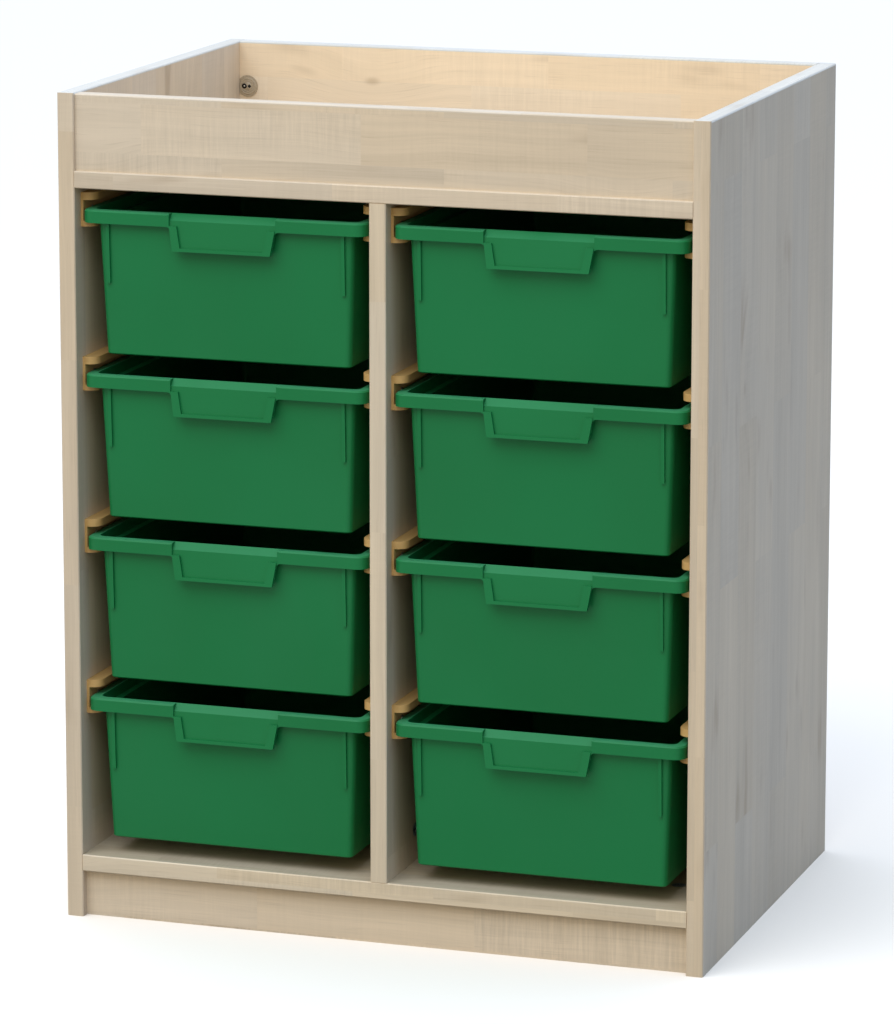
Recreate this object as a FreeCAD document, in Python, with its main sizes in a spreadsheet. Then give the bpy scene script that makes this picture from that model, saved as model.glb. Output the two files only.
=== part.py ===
import FreeCAD, Part
import math
import os
from types import SimpleNamespace

import Sketcher
from FreeCAD import Placement, Rotation, Vector

# School tray storage unit: a panel carcass with two bays of four deep trays under an open well.
# Frame: +Z up, +X to the right seen from the front, the front faces -Y.
# Origin: on the floor, under the middle of the overall box.

# ---------------------------------------------------------------------------
# Driving dimensions, millimetres and degrees
# ---------------------------------------------------------------------------
DRIVING = {
    # carcass
    "overall_width": 700,
    "overall_depth": 500,
    "overall_height": 880,
    "board_thickness": 18,
    "lipping_thickness": 2,
    "lipping_arris": 1,
    "plinth_height": 50,
    "plinth_setback": 10,
    "well_depth": 81,
    "rail_drop": 1,
    "rail_setback": 4,
    # runners
    "runner_setback": 17,
    "runner_length": 417.5,
    "runner_width": 15.5,
    "runner_web": 2.8,
    "runner_lower_flange": 6,
    "runner_channel": 21.9,
    "runner_top_flange": 7.9,
    "runner_nose_radius": 12,
    "runner_stop": 3,
    "runner_top_gap": 6.5,
    # trays
    "tray_side_clearance": 5.5,
    "tray_depth": 427,
    "tray_gap": 20.8,
    "tray_floor_gap": 18,
    "tray_wall": 2,
    "tray_draft": 2.2,
    "tray_stop_clearance": 0.5,
    "tray_seat_clearance": 0.2,
    "rim_width": 10.5,
    "rim_plate": 2,
    "rim_arris": 1.5,
    "rim_corner_radius": 12,
    "mouth_corner_radius": 8,
    "skirt_height": 13.5,
    "skirt_thickness": 2,
    "side_ledge_depth": 11.5,
    "side_ledge_width": 7.2,
    "tub_corner_radius": 6.7,
    "tub_bottom_bevel": 1.2,
    "hidden_corner_bevel": 6,
    "front_rib_inset": 11,
    "front_rib_width": 3.7,
    "front_rib_height": 2.8,
    "front_rib_head": 3,
    "front_rib_drop": 63.2,
    # tray handle
    "handle_width": 116,
    "handle_bottom_width": 107.4,
    "handle_drop": 38.3,
    "handle_plate": 5,
    "handle_lean": 5.8,
    "handle_throat_radius": 5,
    "handle_corner_radius": 1.5,
    "label_recess": 3,
    "label_border": 8.2,
    "label_rim": 3.5,
    "label_head_width": 117,
    "label_head_drop": 12.3,
    "bevel_drop": 7,
    "bevel_rim": 0.6,
    "cut_margin": 1,
    # fixings
    "fitting_edge_distance": 91.5,
    "hole_clearance": 0.1,
    "cam_diameter": 15,
    "cam_depth": 12.5,
    "cam_reach": 34,
    "cam_slot": 2.4,
    "cam_slot_length": 9,
    "cam_slot_depth": 3,
    "rail_cam_height": 40,
    "connector_diameter": 20,
    "connector_ridge": 24,
    "connector_ridge_height": 1.4,
    "connector_depth": 12.7,
    "connector_edge": 9.5,
    "connector_top_drop": 50,
}
ROWS = 4

doc = FreeCAD.newDocument("TrayStorageUnit")
sheet = doc.addObject("Spreadsheet::Sheet", "Sizes")
for row, (alias, number) in enumerate(DRIVING.items(), start=1):
    sheet.set(f"A{row}", alias)
    sheet.set(f"B{row}", str(number))
    sheet.setAlias(f"B{row}", alias)
doc.recompute()


# ---------------------------------------------------------------------------
# Sizes that carry both their number and the sheet expression that drives them
# ---------------------------------------------------------------------------
class Size:
    """A length written as a sheet expression, with the number it gives now."""

    def __init__(self, text, number):
        self.text = text
        self.number = number

    def __add__(self, other):
        other = as_size(other)
        return Size(f"({self.text} + {other.text})", self.number + other.number)

    def __sub__(self, other):
        other = as_size(other)
        return Size(f"({self.text} - {other.text})", self.number - other.number)

    def __mul__(self, factor):
        factor = as_size(factor)
        return Size(f"({self.text} * {factor.text})", self.number * factor.number)

    def __truediv__(self, divisor):
        return Size(f"({self.text} / {divisor})", self.number / divisor)

    def __neg__(self):
        return Size(f"(-1 * {self.text})", -self.number)


def as_size(value):
    return value if isinstance(value, Size) else Size(f"({value})", value)


def tangent(angle):
    return Size(f"tan({angle.text} * 1 deg)", math.tan(math.radians(angle.number)))


d = SimpleNamespace(**{name: Size(f"Sizes.{name}", sheet.get(name)) for name in DRIVING})
ZERO = as_size(0)


# ---------------------------------------------------------------------------
# Helpers: binding, placing, sketching
# ---------------------------------------------------------------------------
RIGHT = (1, 0, 0)
LEFT = (-1, 0, 0)
BACK = (0, 1, 0)
FRONT = (0, -1, 0)
UP = (0, 0, 1)
DOWN = (0, 0, -1)


def bind(obj, **sizes):
    """Bind properties of an object to the sheet."""
    for name, size in sizes.items():
        obj.setExpression(name, as_size(size).text)


def place(obj, point, rotation=None):
    """Put an object's origin at a point whose coordinates follow the sheet."""
    point = [as_size(value) for value in point]
    obj.Placement = Placement(Vector(*[value.number for value in point]), rotation or Rotation())
    for axis, value in zip("xyz", point):
        obj.setExpression(f"Placement.Base.{axis}", value.text)


def shift(point, direction, distance):
    """Move a point along a unit direction of the frame."""
    moved = []
    for value, step in zip(point, direction):
        value = as_size(value)
        if step > 0:
            value = value + distance
        if step < 0:
            value = value - distance
        moved.append(value)
    return moved


def opposite(direction):
    return tuple(-step for step in direction)


def turned(z_to, x_to=None):
    """Rotation that takes local Z, and local X where it matters, to frame directions."""
    if x_to is None:
        return Rotation(Vector(*UP), Vector(*z_to))
    return Rotation(Vector(*x_to), Vector(), Vector(*z_to), "ZXY")


def new_body(name):
    return doc.addObject("PartDesign::Body", name)


def new_sketch(body, name, role, offset=None, lean=None):
    """An empty sketch on one of the body's own origin planes.

    It can be moved along its normal, or lean out at its foot, turned in degrees about its own X axis.
    """
    sketch = body.newObject("Sketcher::SketchObject", name)
    plane = next(item for item in body.Origin.OriginFeatures if item.Role == role)
    sketch.AttachmentSupport = (plane, [""])
    sketch.MapMode = "FlatFace"
    if offset is not None:
        sketch.setExpression("AttachmentOffset.Base.z", offset.text)
    if lean is not None:
        sketch.AttachmentOffset = Placement(Vector(), Rotation(Vector(*RIGHT), -lean.number))
        sketch.setExpression("AttachmentOffset.Rotation.Angle", f"{(-lean).text} * 1 deg")
    return sketch


def outline(sketch, corners):
    """Closed outline of straight edges; every corner's place follows the sheet."""
    points = [(as_size(across), as_size(along)) for across, along in corners]
    places = [Vector(across.number, along.number, 0) for across, along in points]
    first = sketch.GeometryCount
    count = len(points)
    edges = [Part.LineSegment(places[i], places[(i + 1) % count]) for i in range(count)]
    sketch.addGeometry(edges, False)
    for i in range(count):
        following = first + (i + 1) % count
        sketch.addConstraint(Sketcher.Constraint("Coincident", first + i, 2, following, 1))
    for i, (across, along) in enumerate(points):
        for kind, value in (("DistanceX", across), ("DistanceY", along)):
            index = sketch.addConstraint(Sketcher.Constraint(kind, -1, 1, first + i, 1, value.number))
            sketch.setExpression(f"Constraints[{index}]", value.text)


def rectangle(sketch, left, right, near, far):
    outline(sketch, [(left, near), (right, near), (right, far), (left, far)])


def circle(sketch, across, along, diameter):
    """Circle whose centre and diameter follow the sheet."""
    across = as_size(across)
    along = as_size(along)
    diameter = as_size(diameter)
    centre = Vector(across.number, along.number, 0)
    index = sketch.addGeometry(Part.Circle(centre, Vector(0, 0, 1), diameter.number / 2), False)
    for kind, value in (("DistanceX", across), ("DistanceY", along)):
        constraint = sketch.addConstraint(Sketcher.Constraint(kind, -1, 1, index, 3, value.number))
        sketch.setExpression(f"Constraints[{constraint}]", value.text)
    constraint = sketch.addConstraint(Sketcher.Constraint("Diameter", index, diameter.number))
    sketch.setExpression(f"Constraints[{constraint}]", diameter.text)


def feature(body, kind, name, sketch, **settings):
    """A PartDesign feature on a sketch; Size settings are bound, others are set."""
    item = body.newObject(f"PartDesign::{kind}", name)
    item.Profile = sketch
    for setting, value in settings.items():
        if isinstance(value, Size):
            item.setExpression(setting, value.text)
        else:
            setattr(item, setting, value)
    doc.recompute()
    return item


def dress(body, kind, name, size, wanted):
    """Round or bevel the edges of the body's present shape that the test picks out."""
    base = body.Tip
    picked = [f"Edge{i}" for i, edge in enumerate(base.Shape.Edges, start=1) if wanted(edge)]
    item = body.newObject(f"PartDesign::{kind}", name)
    item.Base = (base, picked)
    item.setExpression("Radius" if kind == "Fillet" else "Size", as_size(size).text)
    doc.recompute()
    return item


def round_edges(body, name, radius, wanted):
    return dress(body, "Fillet", name, radius, wanted)


def bevel_edges(body, name, size, wanted):
    return dress(body, "Chamfer", name, size, wanted)


def near(value, target, tolerance=0.05):
    return abs(value - as_size(target).number) < tolerance


# ---------------------------------------------------------------------------
# Helpers: boards, holes and repeated pieces
# ---------------------------------------------------------------------------
blanks = {}
drillings = {}
sub_parts = []


def keep(obj, label):
    """Name an object as a sub-part of the unit."""
    obj.Label = label
    sub_parts.append(obj)
    return obj


def board(label, low, high):
    """Board blank between two opposite corners; its holes are cut at the end."""
    blank = doc.addObject("Part::Box", label + "_blank")
    low = [as_size(value) for value in low]
    high = [as_size(value) for value in high]
    bind(blank, Length=high[0] - low[0], Width=high[1] - low[1], Height=high[2] - low[2])
    place(blank, low)
    blanks[label] = blank
    drillings[label] = []


def drill(label, start, direction, diameter, depth):
    """Drill a board from a point, along a direction, to a depth."""
    number = len(drillings[label]) + 1
    hole = doc.addObject("Part::Cylinder", f"{label}_hole_{number}")
    bind(hole, Radius=diameter / 2, Height=depth)
    place(hole, start, turned(direction))
    drillings[label].append(hole)


def cut_boards():
    for label, blank in blanks.items():
        if not drillings[label]:
            keep(blank, label)
            continue
        tool = doc.addObject("Part::Compound", label + "_holes")
        tool.Links = drillings[label]
        drilled = doc.addObject("Part::Cut", label + "_drilled")
        drilled.Base = blank
        drilled.Tool = tool
        keep(drilled, label)


def copy_of(master, name, point, rotation=None):
    """A placed copy of a master piece, which follows the master's shape."""
    piece = doc.addObject("Part::Compound", name)
    piece.Links = [master]
    place(piece, point, rotation)
    return piece


def group(label, pieces):
    """Identical loose pieces kept together as one sub-part."""
    together = doc.addObject("Part::Compound", label + "_group")
    together.Links = pieces
    keep(together, label)


def lipping(label, low, high, along, shown):
    """Edge lipping strip: its outer long arrises, on the shown side, are eased."""
    body = new_body(label + "_strip")
    strip = body.newObject("PartDesign::AdditiveBox", label + "_box")
    low = [as_size(value) for value in low]
    high = [as_size(value) for value in high]
    bind(strip, Length=high[0] - low[0], Width=high[1] - low[1], Height=high[2] - low[2])
    doc.recompute()
    run = along.index(1)
    face_axis = [abs(step) for step in shown].index(1)
    extent = (high[face_axis] - low[face_axis]).number if sum(shown) > 0 else 0
    length = (high[run] - low[run]).number

    def outer_arris(edge):
        box = edge.BoundBox
        spans = (box.XLength, box.YLength, box.ZLength)
        lows = (box.XMin, box.YMin, box.ZMin)
        highs = (box.XMax, box.YMax, box.ZMax)
        on_face = near(lows[face_axis], extent) and near(highs[face_axis], extent)
        return on_face and near(spans[run], length)

    bevel_edges(body, label + "_arris", d.lipping_arris, outer_arris)
    place(body, low)
    keep(body, label)


# ---------------------------------------------------------------------------
# Positions worked out from the driving dimensions
# ---------------------------------------------------------------------------
half_width = d.overall_width / 2
front = -(d.overall_depth / 2)
rear = d.overall_depth / 2
top = d.overall_height
inner_side = half_width - d.board_thickness
half_board = d.board_thickness / 2
board_front = front + d.lipping_thickness
back_face = rear - d.board_thickness
base_top = d.plinth_height + d.board_thickness
well_floor_top = top - d.well_depth
well_floor_under = well_floor_top - d.board_thickness
rail_top = top - d.rail_drop
rail_front = front + d.rail_setback
plinth_front = front + d.plinth_setback
bay_centre = (inner_side + half_board) / 2
front_fitting = front + d.fitting_edge_distance
rear_fitting = back_face - d.fitting_edge_distance

runner_height = d.runner_lower_flange + d.runner_channel + d.runner_top_flange
runner_front = front + d.runner_setback
tray_back = runner_front + d.runner_length - d.runner_stop - d.tray_stop_clearance
tray_front = tray_back - d.tray_depth
tray_width = inner_side - half_board - d.tray_side_clearance * 2

# The rows share the height that the well leaves over the base, and the trays share their row's height.
rim_above_runner = d.runner_lower_flange + d.tray_seat_clearance + d.skirt_height
first_rim = well_floor_under - d.runner_top_gap - runner_height + rim_above_runner
lowest_tray = base_top + d.tray_floor_gap
row_pitch = (first_rim + d.tray_gap - lowest_tray) / ROWS
tray_height = row_pitch - d.tray_gap


def rim_top(row):
    """Top of a row's tray rims, whose skirts rest on the runners' lower flanges; row 1 is on top."""
    return first_rim - row_pitch * (row - 1)


def runner_bottom(row):
    """Underside of a row's runners."""
    return rim_top(row) - rim_above_runner


# ---------------------------------------------------------------------------
# Carcass boards
# ---------------------------------------------------------------------------
def make_boards():
    lipped_top = top - d.lipping_thickness
    board("left_side_panel", (-half_width, board_front, ZERO), (-inner_side, rear, lipped_top))
    board("right_side_panel", (inner_side, board_front, ZERO), (half_width, rear, lipped_top))
    board("base_panel", (-inner_side, board_front, d.plinth_height), (inner_side, back_face, base_top))
    board("well_floor", (-inner_side, board_front, well_floor_under), (inner_side, back_face, well_floor_top))
    board("centre_divider", (-half_board, board_front, base_top), (half_board, back_face, well_floor_under))
    board("back_panel", (-inner_side, back_face, ZERO), (inner_side, rear, lipped_top))
    board(
        "front_rail",
        (-inner_side, rail_front, well_floor_top),
        (inner_side, rail_front + d.board_thickness, rail_top - d.lipping_thickness),
    )
    board(
        "plinth",
        (-inner_side, plinth_front, ZERO),
        (inner_side, plinth_front + d.board_thickness, d.plinth_height),
    )


def make_lippings():
    under_top = top - d.lipping_thickness
    for name, outside, inside in (("left", -half_width, -inner_side), ("right", inner_side, half_width)):
        front_low = (outside, front, ZERO)
        lipping(f"{name}_side_front_lipping", front_low, (inside, board_front, top), UP, FRONT)
        top_low = (outside, board_front, under_top)
        lipping(f"{name}_side_top_lipping", top_low, (inside, rear, top), BACK, UP)
    for name, under, over in (
        ("base_panel", d.plinth_height, base_top),
        ("well_floor", well_floor_under, well_floor_top),
    ):
        lipping(f"{name}_lipping", (-inner_side, front, under), (inner_side, board_front, over), RIGHT, FRONT)
    divider_low = (-half_board, front, base_top)
    lipping("centre_divider_lipping", divider_low, (half_board, board_front, well_floor_under), UP, FRONT)
    rail_low = (-inner_side, rail_front, rail_top - d.lipping_thickness)
    lipping("front_rail_lipping", rail_low, (inner_side, rail_front + d.board_thickness, rail_top), RIGHT, UP)
    back_low = (-inner_side, back_face, under_top)
    lipping("back_panel_lipping", back_low, (inner_side, rear, top), RIGHT, UP)


# ---------------------------------------------------------------------------
# Fixings between the boards
# ---------------------------------------------------------------------------
def cross_slot(body, name, height=None):
    """Screwdriver cross sunk into a fitting's face."""
    slot = new_sketch(body, name + "_outline", "XY_Plane", height)
    narrow = d.cam_slot / 2
    reach = d.cam_slot_length / 2
    outline(
        slot,
        [
            (reach, -narrow), (reach, narrow), (narrow, narrow), (narrow, reach),
            (-narrow, reach), (-narrow, narrow), (-reach, narrow), (-reach, -narrow),
            (-narrow, -narrow), (-narrow, -reach), (narrow, -reach), (narrow, -narrow),
        ],
    )
    feature(body, "Pocket", name, slot, Length=d.cam_slot_depth)


def make_cam():
    """Cam disc: local Z out of the board's face."""
    body = new_body("cam_master")
    disc = new_sketch(body, "cam_disc_outline", "XY_Plane")
    circle(disc, 0, 0, d.cam_diameter - d.hole_clearance)
    feature(body, "Pad", "cam_disc", disc, Length=d.cam_depth, Reversed=True)
    cross_slot(body, "cam_cross")
    return body


def make_connector():
    """Ridged surface connector: local Z out of the panel's face, local X to the panel's edge."""
    body = new_body("connector_master")
    housing = new_sketch(body, "connector_housing_outline", "XY_Plane")
    circle(housing, 0, 0, d.connector_diameter - d.hole_clearance)
    feature(body, "Pad", "connector_housing", housing, Length=d.connector_depth, Reversed=True)
    ridge = new_sketch(body, "connector_ridge_outline", "XY_Plane")
    circle(ridge, 0, 0, d.connector_ridge)
    feature(body, "Pad", "connector_ridge", ridge, Length=d.connector_ridge_height)
    flat = new_sketch(body, "connector_flat_outline", "XY_Plane", d.connector_ridge_height)
    side = d.connector_edge - d.hole_clearance
    rectangle(flat, side, d.connector_ridge, -d.connector_ridge, d.connector_ridge)
    feature(body, "Pocket", "connector_flat", flat, Length=d.connector_depth * 2)
    cross_slot(body, "connector_cross", d.connector_ridge_height)
    return body


def make_fixings():
    """Cam locks and surface connectors at the joints, and the bores they sit in."""
    cam = make_cam()
    connector = make_connector()
    cams = []
    connectors = []

    def cam_lock(label, point, into, shown):
        """Cam in the shown face of a board whose end meets another board at a point."""
        spot = shift(shift(point, into, d.cam_reach), shown, half_board)
        drill(label, spot, opposite(shown), d.cam_diameter, d.cam_depth)
        cams.append(copy_of(cam, f"cam_{len(cams) + 1}", spot, turned(shown, opposite(into))))

    for into, plane in ((RIGHT, -inner_side), (LEFT, inner_side)):
        for depth in (front_fitting, rear_fitting):
            cam_lock("base_panel", (plane, depth, base_top - half_board), into, UP)
        rail_point = (plane, rail_front + half_board, well_floor_top + d.rail_cam_height)
        cam_lock("front_rail", rail_point, into, BACK)
        seat = shift((plane, back_face, top - d.connector_top_drop), into, d.connector_edge)
        drill("back_panel", seat, BACK, d.connector_diameter, d.connector_depth)
        name = f"connector_{len(connectors) + 1}"
        connectors.append(copy_of(connector, name, seat, turned(FRONT, opposite(into))))

    for depth in (front_fitting, rear_fitting):
        cam_lock("centre_divider", (ZERO, depth, base_top), UP, RIGHT)

    group("cam_locks", cams)
    group("back_connectors", connectors)


# ---------------------------------------------------------------------------
# Tray runners
# ---------------------------------------------------------------------------
def make_runner():
    """Left-hand runner: X out of the panel's face, Y to the rear, Z up, nose at the origin."""
    body = new_body("runner_master")
    section = new_sketch(body, "runner_section", "XZ_Plane")
    channel_top = d.runner_lower_flange + d.runner_channel
    outline(
        section,
        [
            (ZERO, ZERO), (d.runner_width, ZERO),
            (d.runner_width, d.runner_lower_flange), (d.runner_web, d.runner_lower_flange),
            (d.runner_web, channel_top), (d.runner_width, channel_top),
            (d.runner_width, runner_height), (ZERO, runner_height),
        ],
    )
    feature(body, "Pad", "runner_channel", section, Length=d.runner_length, Reversed=True)
    stop = new_sketch(body, "runner_stop_outline", "XZ_Plane", -d.runner_length)
    stop_top = runner_height - d.runner_top_flange / 2
    rectangle(stop, d.runner_web / 2, d.runner_width, d.runner_lower_flange / 2, stop_top)
    feature(body, "Pad", "runner_stop", stop, Length=d.runner_stop)

    def nose(edge):
        box = edge.BoundBox
        return near(box.XMin, d.runner_width) and near(box.YMax, 0) and box.ZLength > 1

    round_edges(body, "runner_noses", d.runner_nose_radius, nose)

    return body


def make_runners():
    left_hand = make_runner()
    right_hand = doc.addObject("Part::Mirroring", "runner_mirrored")
    right_hand.Source = left_hand
    right_hand.Normal = Vector(*RIGHT)
    for bay, left_plane, right_plane in (
        ("left", -inner_side, -half_board),
        ("right", half_board, inner_side),
    ):
        for row in range(1, ROWS + 1):
            for hand, master, plane in (
                ("left", left_hand, left_plane),
                ("right", right_hand, right_plane),
            ):
                label = f"{bay}_bay_row_{row}_{hand}_runner"
                point = (plane, runner_front, runner_bottom(row))
                keep(copy_of(master, label + "_copy", point), label)


# ---------------------------------------------------------------------------
# Trays
# ---------------------------------------------------------------------------
half_tray = tray_width / 2
band_inset = d.rim_width - d.tray_wall
tub_inset = band_inset + d.side_ledge_width
ledge_under = -(d.side_ledge_depth + d.tray_wall)


def tray_plan(body, name, sides, ends, height=None):
    """Rectangle of the tray's plan, moved in at the sides and at the ends, at a height."""
    sketch = new_sketch(body, name, "XY_Plane", height)
    rectangle(sketch, sides - half_tray, half_tray - sides, ends, d.tray_depth - ends)
    return sketch


def corner(sides, ends):
    """Test for the standing edges at the four corners of a plan with the given insets."""

    def test(edge):
        box = edge.BoundBox
        across = near(max(abs(box.XMin), abs(box.XMax)), half_tray - sides, 0.2)
        along = near(box.YMin, ends, 0.2) or near(box.YMax, d.tray_depth - ends, 0.2)
        return across and along and box.ZLength > d.tray_wall.number / 2

    return test


def level(height):
    """Test for edges that lie at one height."""

    def test(edge):
        box = edge.BoundBox
        return near(box.ZMin, height, 0.02) and near(box.ZMax, height, 0.02)

    return test


def standing(shape, shortest):
    """Names of the faces that are at least so tall."""
    faces = enumerate(shape.Faces, start=1)
    return [f"Face{i}" for i, face in faces if face.BoundBox.ZLength > shortest.number]


def lid(shape):
    """Name of the topmost face."""
    heights = [face.CenterOfMass.z for face in shape.Faces]
    return [f"Face{heights.index(max(heights)) + 1}"]


def make_tub():
    """Drafted tub shell, hanging from the rim's ledges."""
    body = new_body("tray_tub")
    outside = tray_plan(body, "tub_outline", tub_inset, band_inset, ledge_under)
    height = tray_height + ledge_under
    block = feature(body, "Pad", "tub_block", outside, Length=height, Reversed=True)
    drafted = body.newObject("PartDesign::Draft", "tub_draft")
    drafted.Base = (block, standing(block.Shape, height / 2))
    drafted.NeutralPlane = (block, lid(block.Shape))
    drafted.Reversed = True
    bind(drafted, Angle=d.tray_draft)
    doc.recompute()
    round_edges(body, "tub_corners", d.tub_corner_radius, corner(tub_inset, band_inset))
    solid = body.Tip
    shell = body.newObject("PartDesign::Thickness", "tub_shell")
    shell.Base = (solid, lid(solid.Shape))
    shell.Reversed = True
    bind(shell, Value=d.tray_wall)
    doc.recompute()
    bevel_edges(body, "tub_bottom", d.tub_bottom_bevel, level(-tray_height))
    make_front_ribs(body)
    return body


def make_rim():
    """Channel-shaped rim: top plate, outer skirt and inner band with a ledge along both sides."""
    body = new_body("tray_rim")
    block = tray_plan(body, "rim_outline", ZERO, ZERO)
    feature(body, "Pad", "rim_block", block, Length=d.skirt_height, Reversed=True)
    band = tray_plan(body, "band_outline", band_inset, band_inset)
    feature(body, "Pad", "band_block", band, Length=-ledge_under, Reversed=True)
    mouth = tray_plan(body, "rim_mouth_outline", d.rim_width, d.rim_width)
    feature(body, "Pocket", "rim_mouth", mouth, Length=d.side_ledge_depth)
    opening = tray_plan(body, "tub_opening_outline", tub_inset + d.tray_wall, d.rim_width, -d.side_ledge_depth)
    feature(body, "Pocket", "tub_opening", opening, Length=d.tray_wall)
    inside_radius = d.tub_corner_radius - d.tray_wall
    round_edges(body, "tub_opening_corners", inside_radius, corner(tub_inset + d.tray_wall, d.rim_width))
    round_edges(body, "rim_mouth_corners", d.mouth_corner_radius, corner(d.rim_width, d.rim_width))
    hollow = tray_plan(body, "skirt_hollow_outline", d.skirt_thickness, d.skirt_thickness, -d.skirt_height)
    rectangle(hollow, band_inset - half_tray, half_tray - band_inset, band_inset, d.tray_depth - band_inset)
    depth = d.skirt_height - d.rim_plate
    feature(body, "Pocket", "skirt_hollow", hollow, Length=depth, Reversed=True)
    bevel_edges(body, "band_corners", d.hidden_corner_bevel, corner(band_inset, band_inset))
    bevel_edges(body, "hollow_corners", d.hidden_corner_bevel, corner(d.skirt_thickness, d.skirt_thickness))
    round_edges(body, "rim_corners", d.rim_corner_radius, corner(ZERO, ZERO))
    outer_reach = (half_tray - d.skirt_thickness).number

    def outer_arris(edge):
        box = edge.BoundBox
        return level(ZERO)(edge) and max(abs(box.XMin), abs(box.XMax)) > outer_reach

    def front_or_back_arris(edge):
        box = edge.BoundBox
        ends = near(box.YMax, ZERO, 0.1) or near(box.YMin, d.tray_depth, 0.1)
        return level(ZERO)(edge) and ends

    bevel_edges(
        body, "rim_arrises", d.rim_arris,
        lambda edge: outer_arris(edge) or front_or_back_arris(edge),
    )
    make_handle(body)
    return body


def make_tray():
    """Tray moulding: rim top in the XY plane, front face in the XZ plane, Y to the rear."""
    tray = doc.addObject("Part::MultiFuse", "tray_master")
    tray.Shapes = [make_rim(), make_tub()]
    doc.recompute()
    return tray


def make_handle(body):
    """Handle apron leaning out from the rim's front, with its label recess and bevelled head."""
    head_half = d.handle_width / 2
    foot_half = d.handle_bottom_width / 2
    shoulder = d.label_head_width / 2
    apron = new_sketch(body, "handle_apron_outline", "XZ_Plane", lean=d.handle_lean)
    outline(
        apron,
        [
            (-foot_half, -d.handle_drop), (foot_half, -d.handle_drop),
            (head_half, -d.label_head_drop), (head_half, -d.rim_plate),
            (-head_half, -d.rim_plate), (-head_half, -d.label_head_drop),
        ],
    )
    feature(body, "Pad", "handle_apron", apron, Length=d.handle_plate, Reversed=True)
    head = new_sketch(body, "handle_head_outline", "XZ_Plane")
    head_reach = shoulder + d.skirt_thickness
    head_foot = (d.skirt_height + d.label_head_drop) / 2
    rectangle(head, -head_reach, head_reach, -head_foot, -d.rim_plate / 2)
    feature(body, "Pad", "handle_head", head, Length=band_inset + d.tray_wall / 2, Reversed=True)

    def throat(edge):
        box = edge.BoundBox
        at_handle = foot_half.number < max(abs(box.XMin), abs(box.XMax)) < head_half.number
        in_skirt = near(box.YMin, ZERO) and near(box.YMax, d.skirt_thickness)
        return level(-d.skirt_height)(edge) and at_handle and in_skirt

    round_edges(body, "handle_throats", d.handle_throat_radius, throat)

    def foot(edge):
        box = edge.BoundBox
        return near(max(abs(box.XMin), abs(box.XMax)), foot_half) and near(box.XLength, ZERO)

    round_edges(body, "handle_feet", d.handle_corner_radius, foot)
    label = new_sketch(body, "label_recess_outline", "XZ_Plane", lean=d.handle_lean)
    recess_head = head_half - d.label_border
    recess_foot = foot_half - d.label_border
    outline(
        label,
        [
            (-recess_foot, d.label_rim - d.handle_drop), (recess_foot, d.label_rim - d.handle_drop),
            (recess_head, -d.label_head_drop), (shoulder, -d.label_head_drop),
            (shoulder, ZERO), (-shoulder, ZERO),
            (-shoulder, -d.label_head_drop), (-recess_head, -d.label_head_drop),
        ],
    )
    feature(body, "Pocket", "label_recess", label, Length=d.label_recess)
    bevel_foot = d.label_recess - tangent(d.handle_lean) * d.bevel_drop
    bevel = new_sketch(body, "handle_bevel_outline", "YZ_Plane")
    outline(
        bevel,
        [
            (-d.cut_margin, d.cut_margin), (d.rim_width - d.bevel_rim, d.cut_margin),
            (d.rim_width - d.bevel_rim, ZERO), (bevel_foot, -d.bevel_drop), (-d.cut_margin, -d.bevel_drop),
        ],
    )
    feature(body, "Pocket", "handle_bevel", bevel, Length=d.label_head_width, Midplane=True)


def make_front_ribs(body):
    """Two upright ribs on the tub's front wall, running down from behind the skirt."""
    slope = tangent(d.tray_draft)
    start = d.skirt_height - d.front_rib_head
    end = d.skirt_height + d.front_rib_drop
    wall_at_end = band_inset + slope * (end + ledge_under)
    face_at_end = wall_at_end - d.front_rib_height
    rooted = d.tray_wall / 2
    for name, side in (("left", -1), ("right", 1)):
        middle = (half_tray - tub_inset - d.front_rib_inset) * side
        rib = new_sketch(body, f"{name}_rib_outline", "YZ_Plane", middle)
        outline(
            rib,
            [
                (band_inset - d.front_rib_height, -start), (band_inset + rooted, -start),
                (band_inset + rooted, ledge_under), (wall_at_end + rooted, -end),
                (face_at_end, -end), (band_inset - d.front_rib_height, ledge_under),
            ],
        )
        feature(body, "Pad", f"{name}_rib", rib, Length=d.front_rib_width, Midplane=True)


def make_trays():
    master = make_tray()
    for bay, middle in (("left", -bay_centre), ("right", bay_centre)):
        for row in range(1, ROWS + 1):
            label = f"{bay}_bay_row_{row}_tray"
            keep(copy_of(master, label + "_copy", (middle, tray_front, rim_top(row))), label)


# ---------------------------------------------------------------------------
# Build, check and write
# ---------------------------------------------------------------------------
def check_document():
    """Stop if any object failed, or any sub-part has no valid solid."""
    for obj in doc.Objects:
        failed = [state for state in obj.State if state in ("Invalid", "Error")]
        if failed:
            raise RuntimeError(f"{obj.Name} did not build: {failed}")
    for obj in sub_parts:
        shape = obj.Shape
        if shape.isNull() or not shape.isValid() or not shape.Solids:
            raise RuntimeError(f"{obj.Label} has no valid solid")


def write_parts():
    os.makedirs("parts", exist_ok=True)
    for obj in sub_parts:
        obj.Shape.exportStep(os.path.join("parts", obj.Label + ".step"))


make_boards()
make_lippings()
make_fixings()
make_runners()
make_trays()
cut_boards()
doc.recompute()
check_document()
write_parts()
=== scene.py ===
import math

import bmesh
import bpy
from mathutils import Matrix, Vector


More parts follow.
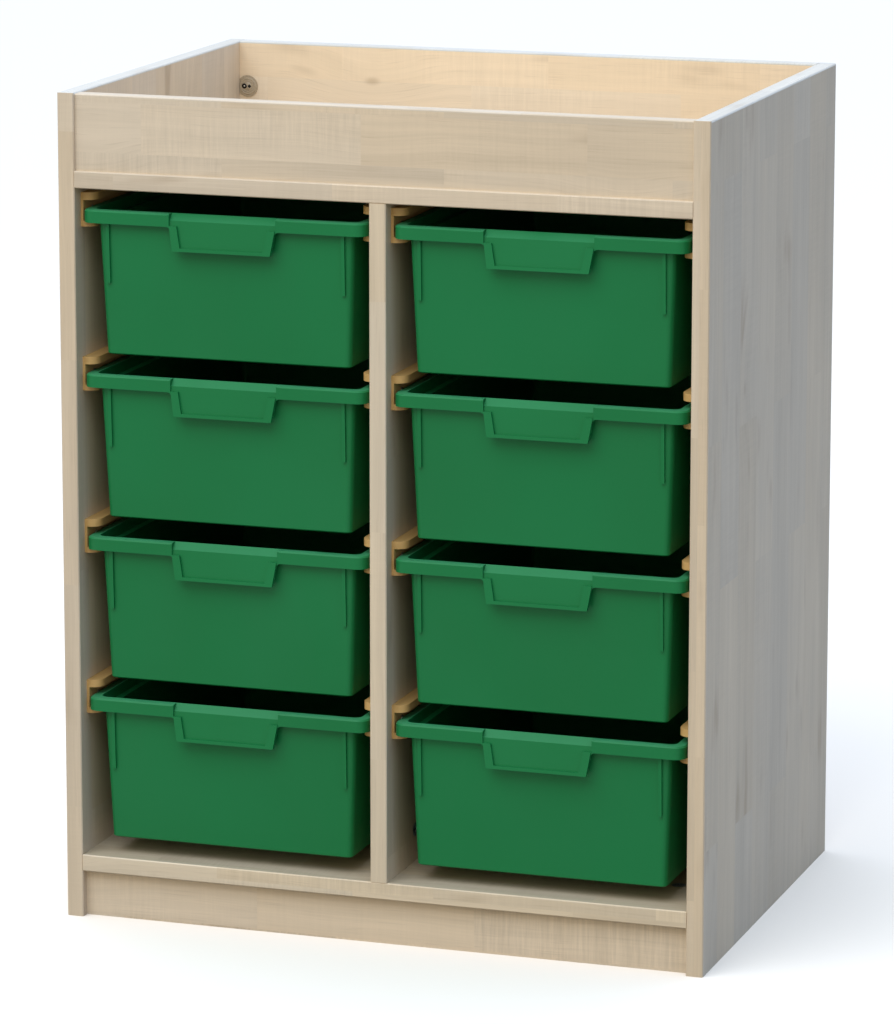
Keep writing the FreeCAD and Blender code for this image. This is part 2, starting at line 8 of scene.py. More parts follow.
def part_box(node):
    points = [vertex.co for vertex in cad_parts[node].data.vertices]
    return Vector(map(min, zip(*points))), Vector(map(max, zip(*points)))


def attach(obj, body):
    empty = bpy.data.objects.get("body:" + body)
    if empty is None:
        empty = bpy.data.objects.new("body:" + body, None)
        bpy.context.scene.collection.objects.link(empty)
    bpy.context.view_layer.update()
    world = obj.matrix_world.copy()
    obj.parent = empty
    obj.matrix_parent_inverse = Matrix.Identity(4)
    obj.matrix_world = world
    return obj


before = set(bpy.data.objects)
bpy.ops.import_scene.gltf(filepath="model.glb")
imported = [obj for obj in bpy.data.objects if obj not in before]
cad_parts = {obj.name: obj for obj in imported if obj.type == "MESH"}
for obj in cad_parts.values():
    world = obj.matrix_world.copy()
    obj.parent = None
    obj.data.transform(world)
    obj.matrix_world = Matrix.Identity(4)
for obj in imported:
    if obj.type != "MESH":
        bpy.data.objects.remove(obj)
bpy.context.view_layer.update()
scene = bpy.context.scene

# ---------------------------------------------------------------------------
# Camera: the photograph's viewpoint, in metres, degrees and pixels
# ---------------------------------------------------------------------------
IMAGE_HEIGHT = 1024
CENTRE_ROW = 362.861
FOCAL_PIXELS = 5089.44
CAMERA_PLACE = (1.691556, -5.065699, 1.550696)
CAMERA_AZIMUTH = 18.5586
CAMERA_ELEVATION = 10.3670
CAMERA_ROLL = 0.0274
CAMERA_REACH = 50
SENSOR_MM = 36.0


def rotation(degrees, axis):
    return Matrix.Rotation(math.radians(degrees), 4, axis)


def make_camera():
    """Camera that sees the unit as the photograph does."""
    data = bpy.data.cameras.new("camera")
    data.sensor_fit = "VERTICAL"
    data.sensor_height = SENSOR_MM
    data.sensor_width = SENSOR_MM
    data.lens = FOCAL_PIXELS / IMAGE_HEIGHT * SENSOR_MM
    data.shift_y = -((IMAGE_HEIGHT / 2 - CENTRE_ROW) / IMAGE_HEIGHT)
    data.clip_end = CAMERA_REACH
    camera = bpy.data.objects.new("camera", data)
    turn = rotation(CAMERA_AZIMUTH, "Z")
    tilt = rotation(90 - CAMERA_ELEVATION, "X")
    roll = rotation(CAMERA_ROLL, "Z")
    camera.matrix_world = Matrix.Translation(CAMERA_PLACE) @ turn @ tilt @ roll
    scene.collection.objects.link(camera)
    scene.camera = camera


# ---------------------------------------------------------------------------
# Node helpers
# ---------------------------------------------------------------------------
BLACK = (0.0, 0.0, 0.0)
WHITE = (1.0, 1.0, 1.0)


class Nodes:
    """A node tree with short calls for the nodes used here."""

    def __init__(self, tree):
        self.tree = tree
        tree.nodes.clear()

    def add(self, kind, sockets=None, **settings):
        """New node with its settings, and its sockets linked or set by name or number."""
        node = self.tree.nodes.new(kind)
        for name, value in settings.items():
            setattr(node, name, value)
        for key, value in (sockets or {}).items():
            self.feed(node.inputs[key], value)
        return node

    def feed(self, socket, value):
        """Link a socket to another, or set it to a plain value."""
        if isinstance(value, bpy.types.NodeSocket):
            self.tree.links.new(value, socket)
        elif socket.type == "RGBA":
            socket.default_value = (*value, 1.0)
        else:
            socket.default_value = value

    def coordinates(self, kind):
        return self.add("ShaderNodeTexCoord").outputs[kind]

    def axes(self, vector):
        return self.add("ShaderNodeSeparateXYZ", {0: vector}).outputs

    def math(self, operation, first, second):
        return self.add("ShaderNodeMath", {0: first, 1: second}, operation=operation).outputs[0]

    def vector(self, operation, first, second):
        sockets = {0: first, 1: second}
        return self.add("ShaderNodeVectorMath", sockets, operation=operation).outputs[0]

    def weighted(self, *layers):
        """Sum of (layer, share) pairs."""
        total = None
        for layer, share in layers:
            part = self.math("MULTIPLY", layer, share)
            total = part if total is None else self.math("ADD", total, part)
        return total

    def scaled(self, vector, factors, offset=(0, 0, 0)):
        sockets = {"Vector": vector, "Scale": factors, "Location": offset}
        return self.add("ShaderNodeMapping", sockets).outputs[0]

    def noise(self, vector, rates, detail=2.0, roughness=0.5, distortion=0.0):
        """Cloudy noise that varies this many times per metre along X, Y and Z."""
        sockets = {
            "Vector": self.scaled(vector, rates), "Scale": 1.0, "Detail": detail,
            "Roughness": roughness, "Distortion": distortion,
        }
        return self.add("ShaderNodeTexNoise", sockets).outputs["Fac"]

    def ramp(self, value, low, high, to_low=0.0, to_high=1.0, interpolation="SMOOTHSTEP"):
        sockets = {
            "Value": value, "From Min": low, "From Max": high, "To Min": to_low, "To Max": to_high,
        }
        node = self.add("ShaderNodeMapRange", sockets, interpolation_type=interpolation)
        return node.outputs["Result"]

    def mix(self, factor, first, second, blend="MIX"):
        """Blend of two colours: sockets 6 and 7 take them, and 2 gives the result."""
        sockets = {0: factor, 6: first, 7: second}
        return self.add("ShaderNodeMix", sockets, data_type="RGBA", blend_type=blend).outputs[2]

    def bump(self, height, relief, strength):
        sockets = {"Height": height, "Distance": relief, "Strength": strength}
        return self.add("ShaderNodeBump", sockets).outputs[0]

    def looked_at(self, otherwise, seen):
        """The second shader where a camera, mirror or glass ray looks, else the first."""
        rays = self.add("ShaderNodeLightPath").outputs
        shown = self.math("MAXIMUM", rays["Is Camera Ray"], rays["Is Glossy Ray"])
        shown = self.math("MAXIMUM", shown, rays["Is Transmission Ray"])
        return self.add("ShaderNodeMixShader", {0: shown, 1: otherwise, 2: seen}).outputs[0]


class Shader(Nodes):
    """A new material and its node tree."""

    def __init__(self, name):
        self.material = bpy.data.materials.new(name)
        self.material.use_nodes = True
        super().__init__(self.material.node_tree)

    def finish(self, shader):
        """Put the shader on the surface and hand the material over."""
        self.add("ShaderNodeOutputMaterial", {"Surface": shader})
        return self.material

    def surface(self, colour, roughness, bump, **constants):
        """Principled surface; constants are set straight on its sockets."""
        sockets = {"Base Color": colour, "Roughness": roughness, "Normal": bump}
        for name, value in constants.items():
            sockets[name.replace("_", " ")] = value
        return self.finish(self.add("ShaderNodeBsdfPrincipled", sockets).outputs[0])


# ---------------------------------------------------------------------------
# Maple-effect boards and edges
# ---------------------------------------------------------------------------
MAPLE_LIGHT = (0.745, 0.600, 0.425)
MAPLE_DARK = (0.470, 0.372, 0.255)
KNOT_BROWN = (0.30, 0.205, 0.12)
WARM_CAST = (1.02, 1.0, 0.96)
COOL_CAST = (0.98, 1.0, 1.03)

# How often each layer varies per metre: along the grain, across it and into the board
KNOT_RATES = (3.1, 6.2, 3.0)
SWAY_RATES = (3.5, 8, 8)
FIBRE_RATES = (6, 380, 380)
PORE_RATES = (24, 900, 900)
BAND_RATES = (2.0, 70, 70)
CURL_RATES = (300, 13, 13)
PATCH_RATES = (6, 12, 12)
CLOUD_RATES = (4.0, 9.0, 9.0)
SMEAR_RATES = (8, 30, 30)

# Each block starts elsewhere in the pattern, and rows of blocks are staggered
BLOCK_JUMP = (1.7, 0.9, 0.6)
BLOCK_STAGGER = 0.37

# Distances from a knot: its brown heart, and the rings of grain round it
KNOT_HEART = (0.008, 0.045)
KNOT_RINGS = (0.03, 0.34)
SWAY_REACH = 0.016
RING_REACH = 0.018

# What each layer adds to the tone, and the sums at which it is light and dark: they lie this
# far below and above the mean of the fine layers
TONE_SHARE = 0.17
FIBRE_SHARE = 0.34
BAND_SHARE = 0.50
CLOUD_SHARE = 0.34
CURL_SHARE = 0.66
RING_SHARE = 0.10
FINE_MEAN = 0.42
TONE_BELOW = 0.12
TONE_ABOVE = 0.68

# Where the noise of a layer starts and stops to count, and the strengths it gives there
CURL_PATCHES = (0.36, 0.62, 0.25, 1.0)
CURLY_BLOCKS = (0.25, 0.75, 0.20, 1.0)
SMEARS = (0.60, 0.80, 0.0)
PORES = (0.58, 0.80, 0.0, 0.18)
WIDE_DRIFT = (0.2, 0.8)
KNOT_STRENGTH = 0.55

# How far a block's own lot and the clouds across blocks set the cast of the wood
BLOCK_CAST = 0.45
CLOUD_CAST = 0.55

# Roughness of a matt face between its fibres, and the part of its gloss that comes off it
MATT_LOW = 0.58
MATT_HIGH = 0.68
POLISH = 0.4
FIBRE_RELIEF = 0.00006
FIBRE_BUMP = 0.35


def toned(colour, tint):
    return tuple(channel * share for channel, share in zip(colour, tint))


def board_space(s, grain, flat, shift):
    """Object coordinates turned so that X runs along the grain and Y across the face."""
    axes = s.axes(s.coordinates("Object"))
    across = next(axis for axis in "XYZ" if axis not in (grain, flat))
    sockets = {"X": axes[grain], "Y": axes[across], "Z": axes[flat]}
    turned = s.add("ShaderNodeCombineXYZ", sockets).outputs[0]
    return s.scaled(turned, (1, 1, 1), shift)


def block_lots(s, space, strip, length):
    """A colour drawn for each block of the board, whose channels set its looks."""
    sockets = {
        "Vector": space, "Color1": BLACK, "Color2": WHITE, "Scale": 1.0, "Mortar Size": 0.0,
        "Bias": 0.0, "Brick Width": length, "Row Height": strip,
    }
    settings = {"offset": BLOCK_STAGGER, "offset_frequency": 2, "squash": 1.0}
    blocks = s.add("ShaderNodeTexBrick", sockets, **settings).outputs["Color"]
    lots = s.add("ShaderNodeTexWhiteNoise", {"Vector": blocks}, noise_dimensions="3D")
    return lots.outputs["Color"]


def maple(
    name, grain, flat, shift, tint=WHITE, strip=0.052, length=0.24,
    gloss=0.30, curly=1.0, marks=0.30, contrast=1.0, fine=1.0,
):
    """Maple-effect melamine: blocks of grain that bends round knots, with curl and pores."""
    s = Shader(name)
    space = board_space(s, grain, flat, shift)
    lots = block_lots(s, space, strip, length)
    tone, curliness, cast = s.add("ShaderNodeSeparateColor", {0: lots}).outputs
    own = s.vector("ADD", space, s.vector("MULTIPLY", lots, BLOCK_JUMP))

    sockets = {"Vector": s.scaled(space, KNOT_RATES), "Scale": 1.0}
    spots = s.add("ShaderNodeTexVoronoi", sockets, feature="F1", voronoi_dimensions="3D")
    knot = s.ramp(spots.outputs["Distance"], *KNOT_HEART, 1.0, 0.0)
    ring = s.ramp(spots.outputs["Distance"], *KNOT_RINGS, 1.0, 0.0)
    bend = s.weighted((s.noise(own, SWAY_RATES), SWAY_REACH), (ring, RING_REACH))
    bent = s.vector("ADD", own, s.add("ShaderNodeCombineXYZ", {"Y": bend}).outputs[0])

    fibre = s.noise(bent, FIBRE_RATES, detail=3.0, roughness=0.65)
    pores = s.noise(bent, PORE_RATES, detail=1.0)
    bands = s.noise(bent, BAND_RATES, detail=2.5)
    curl = s.noise(own, CURL_RATES, detail=3.0, roughness=0.7)
    patch = s.ramp(s.noise(own, PATCH_RATES, detail=1.0), *CURL_PATCHES)
    cloud = s.noise(space, CLOUD_RATES, detail=3.0)
    smear = s.noise(bent, SMEAR_RATES)
    curl_share = s.math("MULTIPLY", s.ramp(curliness, *CURLY_BLOCKS), patch)
    curls = s.math("MULTIPLY", s.math("SUBTRACT", curl, 0.5), curl_share)

    value = s.weighted(
        (tone, TONE_SHARE), (fibre, FIBRE_SHARE * fine), (bands, BAND_SHARE * fine),
        (cloud, CLOUD_SHARE), (curls, CURL_SHARE * curly), (ring, RING_SHARE),
    )
    mean = FINE_MEAN * fine
    value = s.ramp(
        value, mean - TONE_BELOW, mean + TONE_ABOVE, 0.5 - contrast / 2, 0.5 + contrast / 2,
        interpolation="LINEAR",
    )
    colour = s.mix(value, toned(MAPLE_LIGHT, tint), toned(MAPLE_DARK, tint))
    hue = s.ramp(s.weighted((cast, BLOCK_CAST), (cloud, CLOUD_CAST)), *WIDE_DRIFT)
    colour = s.mix(1.0, colour, s.mix(hue, WARM_CAST, COOL_CAST), "MULTIPLY")
    colour = s.mix(s.ramp(smear, *SMEARS, marks), colour, KNOT_BROWN)
    colour = s.mix(s.math("MULTIPLY", knot, KNOT_STRENGTH), colour, KNOT_BROWN)
    colour = s.mix(s.ramp(pores, *PORES), colour, KNOT_BROWN)
    polish = gloss * POLISH
    roughness = s.ramp(fibre, *WIDE_DRIFT, MATT_LOW - polish, MATT_HIGH - polish)
    bump = s.bump(fibre, FIBRE_RELIEF, FIBRE_BUMP)
    return s.surface(colour, roughness, bump, Specular_IOR_Level=gloss)


# ---------------------------------------------------------------------------
# Plastics and metals: each has two close colours that drift into each other
# (rates are per metre, and the relief of a bump is in metres)
# ---------------------------------------------------------------------------
DRIFT = (0.3, 0.7)
TRAY_GREENS = ((0.0050, 0.150, 0.0385), (0.0065, 0.163, 0.0445))
FLOW_GREEN = (0.006, 0.178, 0.046)
FLOW_MARKS = (0.45, 0.75, 0.0, 0.10)
RUNNER_TANS = ((0.575, 0.345, 0.120), (0.50, 0.293, 0.096))
ZINC_GREYS = ((0.40, 0.41, 0.42), (0.26, 0.27, 0.28))
CONNECTOR_BEIGES = ((0.42, 0.335, 0.225), (0.35, 0.275, 0.18))
STEEL_GREY = (0.55, 0.53, 0.48)
# Black for the painted shade in screw recesses and connector holes
RECESS_SHADE_BLACK = (0.02, 0.02, 0.02)
METAL_WEAR = (0.75, 0.75, 0.75)

# Painted highlight: a tray is paler green near its top where it faces up, as light from above
# would make it, more in some places than in others
HIGHLIGHT_GREEN = (0.050, 0.290, 0.118)
HIGHLIGHT_HEIGHT = (0.93, 0.95)
HIGHLIGHT_FACING = (0.56, 1.02)
HIGHLIGHT_PATCHES = (0.2, 0.6, 0.60, 0.95)


def green_plastic():
    """Injection-moulded tray plastic: deep green and satin, with a painted highlight on the upward
    faces of the rim and handle.
    """
    s = Shader("tray_green")
    place = s.coordinates("Object")
    cloud = s.noise(place, rates=(5, 5, 5))
    spark = s.noise(place, rates=(1600, 1600, 1600), detail=1.0)
    flow = s.noise(place, rates=(16, 16, 5), detail=3.0, distortion=0.4)
    colour = s.mix(s.ramp(cloud, *DRIFT), *TRAY_GREENS)
    colour = s.mix(s.ramp(flow, *FLOW_MARKS), colour, FLOW_GREEN)
    # Painted highlight: paler green on up-facing faces near the top of the tray, in patches
    height = s.axes(s.coordinates("Generated"))["Z"]
    facing = s.axes(s.add("ShaderNodeNewGeometry").outputs["Normal"])["Z"]
    upper = s.math("MULTIPLY", s.ramp(height, *HIGHLIGHT_HEIGHT), s.ramp(facing, *HIGHLIGHT_FACING))
    painted_highlight = s.math("MULTIPLY", upper, s.ramp(flow, *HIGHLIGHT_PATCHES))
    colour = s.mix(painted_highlight, colour, HIGHLIGHT_GREEN)
    roughness = s.ramp(flow, *DRIFT, to_low=0.36, to_high=0.44)
    bump = s.bump(spark, relief=0.00004, strength=0.35)
    return s.surface(colour, roughness, bump, Specular_IOR_Level=0.20)


def tan_plastic():
    """Tan runner plastic with faint flow marks along its length."""
    s = Shader("runner_tan")
    place = s.coordinates("Object")
    flow = s.noise(place, rates=(90, 3, 90))
    spark = s.noise(place, rates=(900, 900, 900), detail=1.0)
    colour = s.mix(s.ramp(flow, *DRIFT), *RUNNER_TANS)
    roughness = s.ramp(spark, *DRIFT, to_low=0.42, to_high=0.52)
    bump = s.bump(spark, relief=0.00004, strength=0.4)
    return s.surface(colour, roughness, bump, Specular_IOR_Level=0.35)


def zinc():
    """Dull die-cast zinc with a brushed, slightly blotched skin."""
    s = Shader("cam_zinc")
    place = s.coordinates("Object")
    blotch = s.noise(place, rates=(240, 240, 240), detail=3.0)
    scratch = s.noise(place, rates=(1800, 140, 140), detail=1.0)
    colour = s.mix(s.ramp(blotch, *DRIFT), *ZINC_GREYS)
    roughness = s.ramp(scratch, *DRIFT, to_low=0.34, to_high=0.52)
    bump = s.bump(scratch, relief=0.00003, strength=0.5)
    return s.surface(colour, roughness, bump, Metallic=0.85)


def connector_plastic():
    """Maple-coloured plastic of the surface connectors."""
    s = Shader("connector_beige")
    spark = s.noise(s.coordinates("Object"), rates=(700, 700, 700))
    colour = s.mix(s.ramp(spark, *DRIFT), *CONNECTOR_BEIGES)
    bump = s.bump(spark, relief=0.00003, strength=0.4)
    return s.surface(colour, roughness=0.45, bump=bump, Specular_IOR_Level=0.4)


def screw_metal(name, colour, roughness):
    """Metal of the screws, a little darker in patches."""
    s = Shader(name)
    wear = s.noise(s.coordinates("Object"), rates=(900, 900, 900))
    tone = s.mix(s.ramp(wear, *DRIFT), colour, toned(colour, METAL_WEAR))
    bump = s.bump(wear, relief=0.00002, strength=0.4)
    return s.surface(tone, roughness, bump, Metallic=0.9)


# ---------------------------------------------------------------------------
# What each CAD node is made of, and the light and shade painted into some boards
# ---------------------------------------------------------------------------
# Lighter left board: painted light, for the bounce light on its face in the well
LEFT_BOARD_PAINTED_LIGHT = (1.05, 1.05, 1.05)
# Darker, bluer right board: painted shade, for its outer face turned away from the light
RIGHT_BOARD_PAINTED_SHADE = (0.87, 0.92, 0.955)
# Darker base board: painted shade, for its top that lies in the shaded bottom bays
BASE_PAINTED_SHADE = (0.81, 0.82, 0.80)
# Lighter well floor: painted light, so that it reads brighter and throws more light round the well
WELL_FLOOR_PAINTED_LIGHT = (1.14, 1.14, 1.12)
# Lighter back panel: painted light, for the bounce light on its face in the well
BACK_PAINTED_LIGHT = (1.17, 1.17, 1.18)
# Lighter plinth: painted light, to offset the shade low down by the floor
PLINTH_PAINTED_LIGHT = (1.08, 1.08, 1.09)
PALE_EDGE = (1.05, 1.07, 1.07)
# Bluish, lighter top edges: painted light, for the sky light and sheen on up-facing edges
TOP_EDGE_PAINTED_SKY = (0.93, 1.14, 1.48)
RAIL_EDGE = (0.99, 1.01, 1.04)

# What sets some boards and edges apart from the plain maple
TALL = {
    "strip": 0.068, "length": 0.42, "curly": 0.30, "marks": 0.50, "fine": 0.62, "contrast": 1.15,
}
CALM = {"curly": 0.3}
SHINY = {"gloss": 0.8}

# Node: material, grain axis, axis into the board, shift of the pattern, tint (painted light or
# shade on some boards), settings
MAPLES = {
    "left_side_panel": ("maple_left_side", "Z", "X", (0.31, 0.02, 0.0), LEFT_BOARD_PAINTED_LIGHT, TALL),
    "right_side_panel": ("maple_right_side", "Z", "X", (1.13, 0.47, 0.2), RIGHT_BOARD_PAINTED_SHADE, TALL),
    "centre_divider": ("maple_divider", "Z", "X", (2.27, 0.11, 0.6), WHITE, TALL),
    "base_panel": ("maple_base", "X", "Z", (0.73, 0.21, 0.4), BASE_PAINTED_SHADE, {}),
    "well_floor": ("maple_well_floor", "X", "Z", (1.91, 0.35, 0.7), WELL_FLOOR_PAINTED_LIGHT, {}),
    "front_rail": ("maple_rail", "X", "Y", (0.41, 0.013, 0.0), WHITE, {}),
    "back_panel": ("maple_back", "X", "Y", (2.61, 0.043, 0.3), BACK_PAINTED_LIGHT, {"contrast": 0.6}),
    "plinth": ("maple_plinth", "X", "Y", (3.17, 0.31, 0.9), PLINTH_PAINTED_LIGHT, {"curly": 1.5}),
    "left_side_front_lipping": ("edge_left", "Z", "Y", (0.6, 0.3, 0.1), WHITE, CALM),
    "right_side_front_lipping": ("edge_right", "Z", "Y", (1.6, 0.7, 0.2), WHITE, CALM),
    "centre_divider_lipping": ("edge_divider", "Z", "Y", (2.2, 0.5, 0.3), PALE_EDGE, CALM),
    "left_side_top_lipping": ("edge_left_top", "Y", "Z", (0.2, 0.4, 0.4), TOP_EDGE_PAINTED_SKY, SHINY),
    "right_side_top_lipping": ("edge_right_top", "Y", "Z", (1.2, 0.9, 0.5), TOP_EDGE_PAINTED_SKY, SHINY),
    "base_panel_lipping": ("edge_base", "X", "Y", (0.9, 0.1, 0.6), PALE_EDGE, {}),
    "well_floor_lipping": ("edge_well_floor", "X", "Y", (1.4, 0.8, 0.7), WHITE, {}),
    "front_rail_lipping": ("edge_rail", "X", "Z", (2.4, 0.6, 0.8), RAIL_EDGE, {"gloss": 0.6}),
    "back_panel_lipping": ("edge_back", "X", "Z", (3.4, 0.2, 0.9), TOP_EDGE_PAINTED_SKY, SHINY),
}


def dress_nodes(beige):
    """Give every CAD node its material."""
    materials = {node: maple(*row, **settings) for node, (*row, settings) in MAPLES.items()}
    materials["cam_locks"] = zinc()
    materials["back_connectors"] = beige
    green = green_plastic()
    tan = tan_plastic()
    for name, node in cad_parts.items():
        if name.endswith("_tray"):
            material = green
        elif name.endswith("_runner"):
            material = tan
        else:
            material = materials.get(name)
        node.data.materials.clear()
        node.data.materials.append(material)


# ---------------------------------------------------------------------------
# Small pieces that the solids leave out, in metres
# ---------------------------------------------------------------------------
RUNNER_WEB = 0.0028
SCREW_HEAD_RADIUS = 0.0038
SCREW_HEAD_RISE = 0.0014
SCREWS_PER_RUNNER = 2
SCREW_FROM_FRONT = 0.024
SCREW_SPACING = 0.352
SCREW_HEIGHT_SHARE = 0.45
SCREW_SIDES = 24
SCREW_SHAPE = ((1.0, 0.0), (1.0, 0.35), (0.92, 0.75), (0.70, 1.0))
SCREW_PROFILE = [
    (SCREW_HEAD_RADIUS * width, SCREW_HEAD_RISE * rise) for width, rise in SCREW_SHAPE
]
RECESS_REACH = SCREW_HEAD_RADIUS * 0.55
RECESS_HALF_WIDTH = 0.0004
RECESS_FOOT = SCREW_HEAD_RISE * 0.6
RECESS_TOP = SCREW_HEAD_RISE * 1.03

CAP_FROM_EDGE = 0.010
CAP_RISE = 0.0009
CAP_PROFILE = (
    (0.0097, 0.0), (0.0097, 0.0004), (0.0090, 0.0009), (0.0079, 0.0009), (0.0074, 0.0000),
    (0.0070, 0.0009), (0.0057, 0.0009), (0.0052, 0.0001), (0.0047, 0.0009),
)
CAP_SCREW_SHIFT = -0.0039
CAP_SCREW_WELL = 0.0029
CAP_SCREW_TIP = 0.0010
DRIVER_SHIFT = 0.0021
DRIVER_REACH = 0.0023
HOLE_PROUD = 0.0001
TIP_PROUD = 0.0004


def lathe(bm, profile, place, segments):
    """Turn a (radius, height) profile about Z and put it in place."""
    rings = []
    for radius, height in profile:
        ring = []
        for step in range(segments):
            angle = 2 * math.pi * step / segments
            point = Vector((radius * math.cos(angle), radius * math.sin(angle), height))
            ring.append(bm.verts.new(place @ point))
        rings.append(ring)
    for lower, upper in zip(rings, rings[1:]):
        for step in range(segments):
            after = (step + 1) % segments
            bm.faces.new((lower[step], lower[after], upper[after], upper[step]))
    bm.faces.new(rings[0][::-1])
    bm.faces.new(rings[-1])


def cross_bars(bm, place):
    """Two crossed bars that read as the recess of a screw head; in dark metal they are painted
    shade in place of its hollow.
    """
    reach, width = RECESS_REACH, RECESS_HALF_WIDTH
    outline = ((-reach, -width), (reach, -width), (reach, width), (-reach, width))
    sides = ((3, 2, 1, 0), (4, 5, 6, 7), (1, 5, 4, 0), (2, 6, 5, 1), (3, 7, 6, 2), (0, 4, 7, 3))
    for turn in (0, 90):
        spin = place @ rotation(turn, "Z")
        corners = []
        for height in (RECESS_FOOT, RECESS_TOP):
            for x, y in outline:
                corners.append(bm.verts.new(spin @ Vector((x, y, height))))
        for side in sides:
            bm.faces.new([corners[i] for i in side])


def finish_mesh(bm, name, material, body):
    """Make a smooth piece of the mesh and let it ride on a body."""
    mesh = bpy.data.meshes.new(name)
    bm.normal_update()
    bm.to_mesh(mesh)
    bm.free()
    for polygon in mesh.polygons:
        polygon.use_smooth = True
    piece = bpy.data.objects.new(name, mesh)
    scene.collection.objects.link(piece)
    mesh.materials.append(material)
    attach(piece, body)


def runner_screws(steel, hollow_shade):
    """Low cross-head screws that hold each runner's web to its board."""
    heads = bmesh.new()
    # Dark cross bars: painted shade where the screw heads' recesses are hollow
    recess_shades = bmesh.new()
    for name in sorted(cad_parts):
        if not name.endswith("_runner"):
            continue
        low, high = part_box(name)
        left_hand = name.endswith("left_runner")
        face = low.x + RUNNER_WEB if left_hand else high.x - RUNNER_WEB
        outward = rotation(90 if left_hand else -90, "Y")
        height = low.z + (high.z - low.z) * SCREW_HEIGHT_SHARE
        for number in range(SCREWS_PER_RUNNER):
            depth = low.y + SCREW_FROM_FRONT + SCREW_SPACING * number
            place = Matrix.Translation((face, depth, height)) @ outward
            lathe(heads, SCREW_PROFILE, place, SCREW_SIDES)
            cross_bars(recess_shades, place)
    finish_mesh(heads, "runner_screw_heads", steel, "carcass")
    finish_mesh(recess_shades, "runner_screw_recess_shades", hollow_shade, "carcass")


def disc(radius, proud):
    """Profile of a flat disc that starts inside the cap and stands proud of it."""
    return ((radius, CAP_RISE * 0.5), (radius, CAP_RISE + proud))


def connector_caps(beige, steel, hollow_shade):
    """Ringed caps of the two back connectors, each with a screw and a driver hole; the screw well
    and driver hole are flat dark discs of painted shade.
    """
    caps = bmesh.new()
    # Flat dark discs: painted shade where the screw well and driver hole are hollow
    hole_shades = bmesh.new()
    screws = bmesh.new()
    # Mesh, profile, shift along X and number of sides
    turned_parts = (
        (caps, CAP_PROFILE, 0.0, 48),
        (hole_shades, disc(CAP_SCREW_WELL, HOLE_PROUD), CAP_SCREW_SHIFT, 24),
        (screws, disc(CAP_SCREW_TIP, TIP_PROUD), CAP_SCREW_SHIFT, 16),
        (hole_shades, disc(DRIVER_REACH, HOLE_PROUD), DRIVER_SHIFT, 4),
    )
    low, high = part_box("back_connectors")
    height = (low.z + high.z) / 2
    forward = rotation(90, "X")
    for side in (-1, 1):
        across = side * (high.x - CAP_FROM_EDGE)
        for bm, profile, shift, segments in turned_parts:
            place = Matrix.Translation((across + shift, low.y, height)) @ forward
            lathe(bm, profile, place, segments)
    finish_mesh(caps, "back_connector_caps", beige, "carcass")
    finish_mesh(hole_shades, "back_connector_hole_shades", hollow_shade, "carcass")
    finish_mesh(screws, "back_connector_screws", steel, "carcass")


# ---------------------------------------------------------------------------
# Floor and light
# ---------------------------------------------------------------------------
FLOOR_HALF = 20.0
FLOOR_PALE = (1.0, 0.91, 0.78)
FLOOR_DIM = (0.22, 0.205, 0.19)

# Light from each side: its colour, and the axis and direction that it comes from
SKY = (
    ((1.02, 1.32, 1.74), "Z", 1.0),
    ((0.09, 0.28, 0.76), "X", 1.0),
    ((0.94, 0.86, 0.88), "X", -1.0),
    ((1.25, 1.10, 0.72), "Y", -1.0),
    ((1.34, 1.36, 1.58), "Y", 1.0),
)
GROUND = (0.10, 0.10, 0.10)
HORIZON = 0.05

KEY_PLACE = (-0.7, -2.4, 3.4)
KEY_TARGET = (0.0, 0.0, 0.45)
KEY_WIDTH = 3.4
KEY_DEPTH = 2.4
KEY_WATTS = 76.0
KEY_COLOUR = (0.93, 1.0, 1.16)


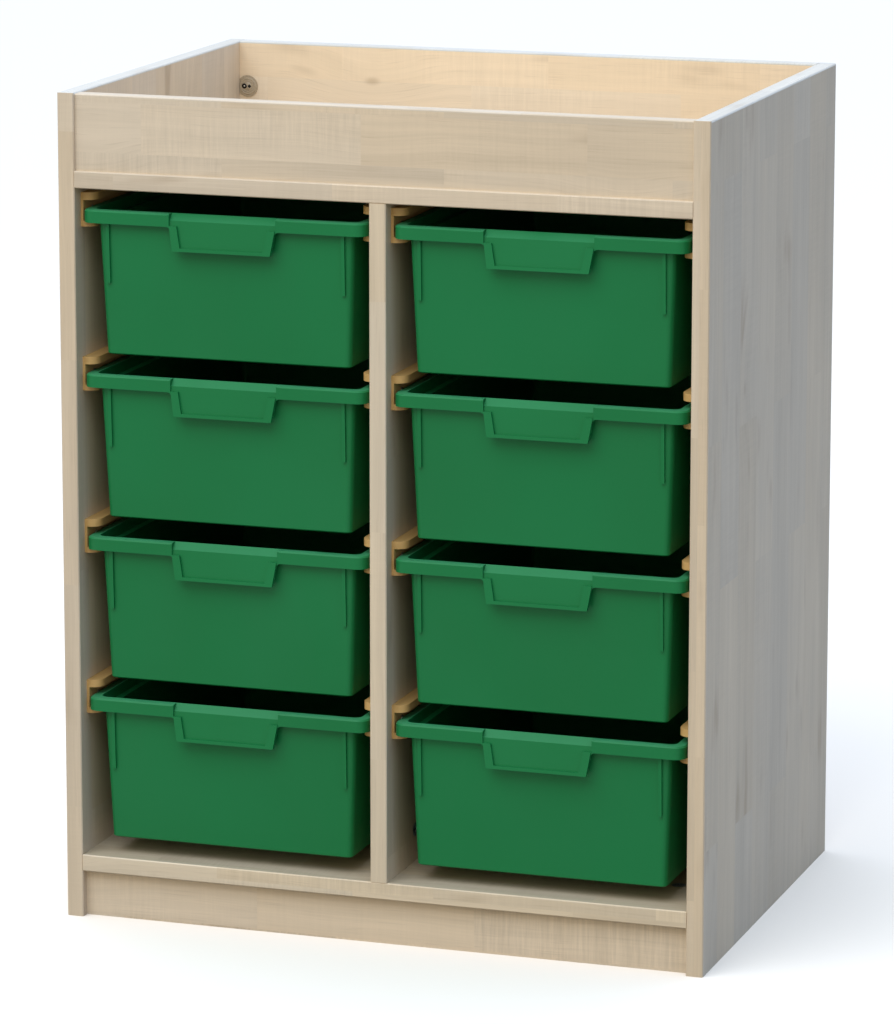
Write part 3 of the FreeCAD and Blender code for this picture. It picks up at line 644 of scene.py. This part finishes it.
def make_floor():
    """Wide floor: pale where it is looked at, dim where it only throws light back."""
    mesh = bpy.data.meshes.new("floor")
    half = FLOOR_HALF
    corners = [(-half, -half, 0), (half, -half, 0), (half, half, 0), (-half, half, 0)]
    mesh.from_pydata(corners, [], [(0, 1, 2, 3)])
    floor = bpy.data.objects.new("floor", mesh)
    scene.collection.objects.link(floor)
    s = Shader("floor_pale")
    dim = s.add("ShaderNodeBsdfDiffuse", {"Color": FLOOR_DIM}).outputs[0]
    pale = s.add("ShaderNodeBsdfDiffuse", {"Color": FLOOR_PALE}).outputs[0]
    mesh.materials.append(s.finish(s.looked_at(dim, pale)))


def make_key():
    """Large soft box above and in front, a little to the left."""
    lamp = bpy.data.lights.new("key", "AREA")
    lamp.shape = "RECTANGLE"
    lamp.size = KEY_WIDTH
    lamp.size_y = KEY_DEPTH
    lamp.energy = KEY_WATTS
    lamp.color = KEY_COLOUR
    holder = bpy.data.objects.new("key", lamp)
    holder.location = KEY_PLACE
    aim = Vector(KEY_TARGET) - Vector(KEY_PLACE)
    holder.rotation_euler = aim.to_track_quat("-Z", "Y").to_euler()
    scene.collection.objects.link(holder)


def make_world():
    """Soft studio surround: brightest above and behind, dim and blue on the right."""
    world = bpy.data.worlds.new("studio")
    world.use_nodes = True
    nodes = Nodes(world.node_tree)
    axes = nodes.axes(nodes.coordinates("Generated"))
    total = None
    for colour, axis, direction in SKY:
        toward = nodes.math("MULTIPLY", axes[axis], direction)
        weight = nodes.math("MAXIMUM", toward, 0.0)
        sockets = {0: colour, "Scale": nodes.math("MULTIPLY", weight, weight)}
        part = nodes.add("ShaderNodeVectorMath", sockets, operation="SCALE").outputs[0]
        total = part if total is None else nodes.vector("ADD", total, part)
    above = nodes.ramp(axes["Z"], -HORIZON, HORIZON)
    sky = nodes.mix(above, GROUND, total)
    light = nodes.add("ShaderNodeBackground", {"Color": sky}).outputs[0]
    white = nodes.add("ShaderNodeBackground", {"Color": WHITE}).outputs[0]
    nodes.add("ShaderNodeOutputWorld", {"Surface": nodes.looked_at(light, white)})
    scene.world = world


scene.view_settings.view_transform = "Standard"
make_camera()
connector_beige = connector_plastic()
screw_steel = screw_metal("screw_steel", STEEL_GREY, roughness=0.35)
screw_recess_shade = screw_metal("screw_recess_shade", RECESS_SHADE_BLACK, roughness=0.7)
dress_nodes(connector_beige)
runner_screws(screw_steel, screw_recess_shade)
connector_caps(connector_beige, screw_steel, screw_recess_shade)
make_floor()
make_key()
make_world()
